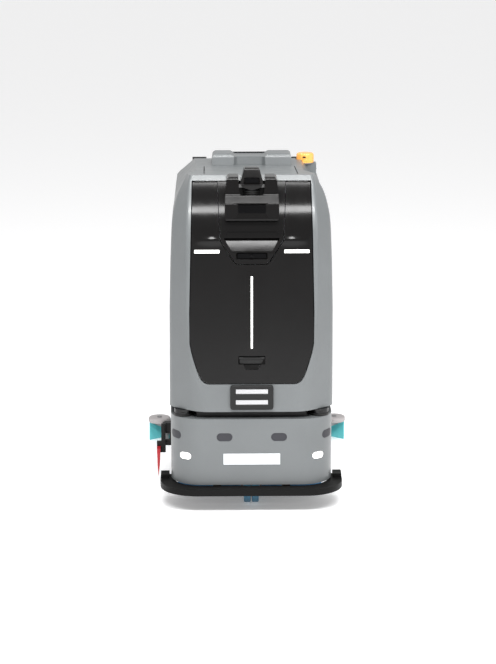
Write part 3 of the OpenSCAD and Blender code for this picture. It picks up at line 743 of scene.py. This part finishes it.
def make_charging_module():
    frame_piece = prism("charging_module", box_outline(-0.074, 0.074, 0.364, 0.450, 0.009), "y",
                        -0.515, -0.503)
    for z in (0.429, 0.391):
        wide = box_outline(-0.0590, 0.0590, z - 0.0108, z + 0.0108, 0.004)
        near = box_outline(-0.0553, 0.0553, z - 0.0078, z + 0.0078, 0.002)
        combine(frame_piece, frustum(wide, near, -0.5165, -0.512), "DIFFERENCE")
    soften(frame_piece, 0.0022, 3, 34, 0.00005)
    finish_piece(frame_piece, "chassis", "satin_black", "charging_bezel")


def make_hose():
    profile = [(0.0165, 0.1123), (0.0185, 0.1123)]
    count = 42
    span = (0.4196 - 0.1130) / count
    for k in range(count):
        z = 0.1130 + k * span
        profile += [(0.0182, z), (0.0199, z + span * 0.3), (0.0199, z + span * 0.6),
                    (0.0182, z + span * 0.9)]
    profile += [(0.0185, 0.4196), (0.0165, 0.4196), (0.0165, 0.1123)]
    hose = lathe("suction_hose", profile, HOSE_XY, 48)
    paint(hose, "hose_black")
    for poly in hose.data.polygons:
        poly.use_smooth = True
    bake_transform(hose)
    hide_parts("suction_hose")


def make_bristles(side, name, body):
    bm = bmesh.new()
    for ring, (radius, tufts) in enumerate(((0.070, 40), (0.082, 48), (0.095, 56), (0.108, 64),
                                            (0.119, 70))):
        for i in range(tufts):
            a = math.tau * (i + 0.5 * (ring % 2)) / tufts
            rows = []
            for z, reach, thick in ((0.0302, 0.0, 0.0022), (0.0160, 0.0016, 0.0027),
                                    (0.0007, 0.0040, 0.0033)):
                cx = side * BRUSH_X + (radius + reach) * math.cos(a)
                cy = BRUSH_Y + (radius + reach) * math.sin(a)
                rows.append([bm.verts.new((cx + thick * math.cos(b), cy + thick * math.sin(b), z))
                             for b in (math.tau * k / 6 for k in range(6))])
            for high, low in zip(rows, rows[1:]):
                for k in range(6):
                    bm.faces.new((low[k], low[(k + 1) % 6], high[(k + 1) % 6], high[k]))
            bm.faces.new(rows[0])
            bm.faces.new(rows[-1][::-1])
    tufts = from_bmesh(name, bm)
    finish_piece(tufts, body, "bristle_nylon", name)


def make_tyre(side, name, body):
    half = [(0.074, -0.0248), (0.090, -0.0250), (0.1035, -0.0248), (0.1075, -0.0225), (0.110, -0.018),
            (0.110, -0.009), (0.110, -0.0015)]
    profile = half + [(r, -w) for r, w in reversed(half)]
    steps = 168
    verts, faces = [], []
    for i in range(steps):
        a = math.tau * i / steps
        for k, (r, w) in enumerate(profile):
            tread = 3 <= k <= 10
            phase = (i + (3 if k > 6 else 0)) % 6
            depth = 0.0035 if tread and phase == 0 else 0.0
            verts.append((side * TYRE_X + w, AXLE_YZ[0] + (r - depth) * math.cos(a),
                          AXLE_YZ[1] + (r - depth) * math.sin(a)))
    n = len(profile)
    for i in range(steps):
        j = (i + 1) % steps
        for k in range(n):
            m = (k + 1) % n
            faces.append([i * n + k, j * n + k, j * n + m, i * n + m])
    tyre = outward(new_object(name, verts, faces))
    soften(tyre, 0.0006, 2, 35)
    finish_piece(tyre, body, "tyre_rubber", name)


def make_spring():
    turns, wire, coil = 6.6, 0.0015, 0.0050
    steps = 200
    verts, faces = [], []
    for i in range(steps + 1):
        t = i / steps
        a = math.tau * turns * t
        cx, cy = -0.299 + coil * math.cos(a), -0.115 + coil * math.sin(a)
        cz = 0.1497 + 0.0248 * t
        for k in range(10):
            b = math.tau * k / 10
            out = wire * math.cos(b)
            verts.append((cx + out * math.cos(a), cy + out * math.sin(a), cz + wire * math.sin(b)))
    for i in range(steps):
        for k in range(10):
            j = (k + 1) % 10
            faces.append([i * 10 + k, i * 10 + j, (i + 1) * 10 + j, (i + 1) * 10 + k])
    faces += [list(range(10))[::-1], [steps * 10 + k for k in range(10)]]
    spring = outward(new_object("skirt_coil", verts, faces))
    for poly in spring.data.polygons:
        poly.use_smooth = True
    finish_piece(spring, "chassis", SLOTS["skirt_spring"], "skirt_spring")


def make_beacon():
    def ribs(a, radius, z):
        return 0.0006 * math.cos(30 * a) - 0.0006 if radius > 0.026 and 1.118 < z < 1.144 else 0.0
    profile = [(0.0001, 1.11405), (0.0325, 1.11405), (0.0325, 1.1180), (0.0312, 1.1190),
               (0.0320, 1.1196), (0.0318, 1.1340), (0.0314, 1.1420), (0.0300, 1.1458),
               (0.0262, 1.1480), (0.0160, 1.1490), (0.0001, 1.1490)]
    lens = lathe("beacon_lens", profile, BEACON_XY, 180, ribs)
    soften(lens, 0.0006, 2, 50)
    finish_piece(lens, "chassis", "amber_lens", "beacon_lens")
    spot = prism("beacon_spot", box_outline(0.2000, 0.2110, 1.1330, 1.1385, 0.0015), "y",
                 0.1702, 0.1745)
    soften(spot, 0.0004, 2, 40)
    finish_piece(spot, "chassis", "satin_black")


make_pod()
make_turret()
make_console()
make_charging_module()
make_hose()
make_bristles(-1, "left_bristles", "left_brush")
make_bristles(1, "right_bristles", "right_brush")
make_tyre(-1, "left_tyre", "left_wheel")
make_tyre(1, "right_tyre", "right_wheel")
make_spring()
make_beacon()
for side, wheel in ((-1, "left_wheel"), (1, "right_wheel")):
    bolts = [(side * 0.243, AXLE_YZ[0] + 0.024 * math.cos(math.tau * (i + 0.5) / 6),
              AXLE_YZ[1] + 0.024 * math.sin(math.tau * (i + 0.5) / 6)) for i in range(6)]
    bolt_heads(("left" if side < 0 else "right") + "_hub_bolts", bolts,
               "-x" if side < 0 else "+x", 0.0045, 0.004, wheel, "contact_metal")
bolt_heads("clamp_bolts", [(CLAMP_R * math.sin(math.radians(a)),
                            CLAMP_Y + CLAMP_R * math.cos(math.radians(a)), 0.0555)
                           for a in (-32, -22, -11, 11, 22, 32)],
           "+y", 0.0042, 0.002, "squeegee", "contact_metal")
bolt_heads("beacon_screws", [(0.250, 0.191, 1.092), (0.250, 0.215, 1.092)], "+x", 0.004, 0.002,
           "chassis", "contact_metal")

# ---------------------------------------------------------------- CAD nodes that stay
EDGE = {"front_casing": 0.004, "bumper": 0.006,
        "beacon_bracket": 0.005, "caster_wheels": 0.005, "left_end_roller": 0.006,
        "right_end_roller": 0.006, "stop_button": 0.003, "solution_tank": 0.012,
        "recovery_tank": 0.005, "battery_pack": 0.006, "control_box": 0.006,
        "tank_lid": 0.0015, "push_rail": 0.003, "suction_motor": 0.006, "brush_motors": 0.004}
FINE_EDGE = 0.0008

for node_name, node_object in NODES.items():
    if node_object.hide_render:
        continue
    paint(node_object, SLOTS[node_name])
    soften(node_object, EDGE.get(node_name, FINE_EDGE), 3, 32)


# ---------------------------------------------------------------- floor, light, camera
def stage_floor():
    size = 80.0
    obj = new_object("floor", [(-size, -size, 0), (size, -size, 0), (size, size, 0),
                               (-size, size, 0)], [[0, 1, 2, 3]])
    mat = bpy.data.materials.new("floor_white")
    mat.use_nodes = True
    bsdf = mat.node_tree.nodes["Principled BSDF"]
    bsdf.inputs["Base Color"].default_value = (0.97, 0.97, 0.975, 1)
    bsdf.inputs["Roughness"].default_value = 0.6
    bsdf.inputs["Emission Color"].default_value = (1, 1, 1, 1)
    bsdf.inputs["Emission Strength"].default_value = 0.22
    obj.data.materials.append(mat)


def area_light(name, place, target, size, power):
    data = bpy.data.lights.new(name, "AREA")
    data.shape = "RECTANGLE"
    data.size, data.size_y = size
    data.energy = power
    obj = bpy.data.objects.new(name, data)
    obj.location = place
    obj.rotation_euler = (Vector(target) - Vector(place)).to_track_quat("-Z", "Y").to_euler()
    bpy.context.scene.collection.objects.link(obj)


def camera(azimuth, elevation, distance, target, lens):
    az, el = math.radians(azimuth), math.radians(elevation)
    place = Vector(target) + distance * Vector((math.sin(az) * math.cos(el),
                                                -math.cos(az) * math.cos(el), math.sin(el)))
    data = bpy.data.cameras.new("camera")
    data.sensor_fit = "VERTICAL"
    data.sensor_height = 36
    data.sensor_width = 36
    data.lens = lens
    obj = bpy.data.objects.new("camera", data)
    obj.location = place
    obj.rotation_euler = (Vector(target) - place).to_track_quat("-Z", "Y").to_euler()
    bpy.context.scene.collection.objects.link(obj)
    bpy.context.scene.camera = obj


stage_floor()
world = bpy.data.worlds.new("studio")
world.use_nodes = True
world.node_tree.nodes["Background"].inputs["Color"].default_value = (1, 1, 1, 1)
world.node_tree.nodes["Background"].inputs["Strength"].default_value = 0.66
bpy.context.scene.world = world
bpy.context.scene.view_settings.view_transform = "Standard"
area_light("key", (-1.8, -3.2, 3.9), (0, 0, 0.7), (1.6, 1.0), 22)
area_light("strip", (0.2, -2.75, 2.95), (0, -0.4, 1.05), (3.2, 0.5), 165)
area_light("top", (0.0, -1.15, 4.1), (0, -0.45, 1.1), (3.0, 0.5), 90)
area_light("fill", (3.4, -2.0, 1.6), (0, 0, 0.6), (2.0, 2.4), 25)
camera(-1.1, 13.0, 8.0, (-0.0035, 0.0, 0.52), 119.0)
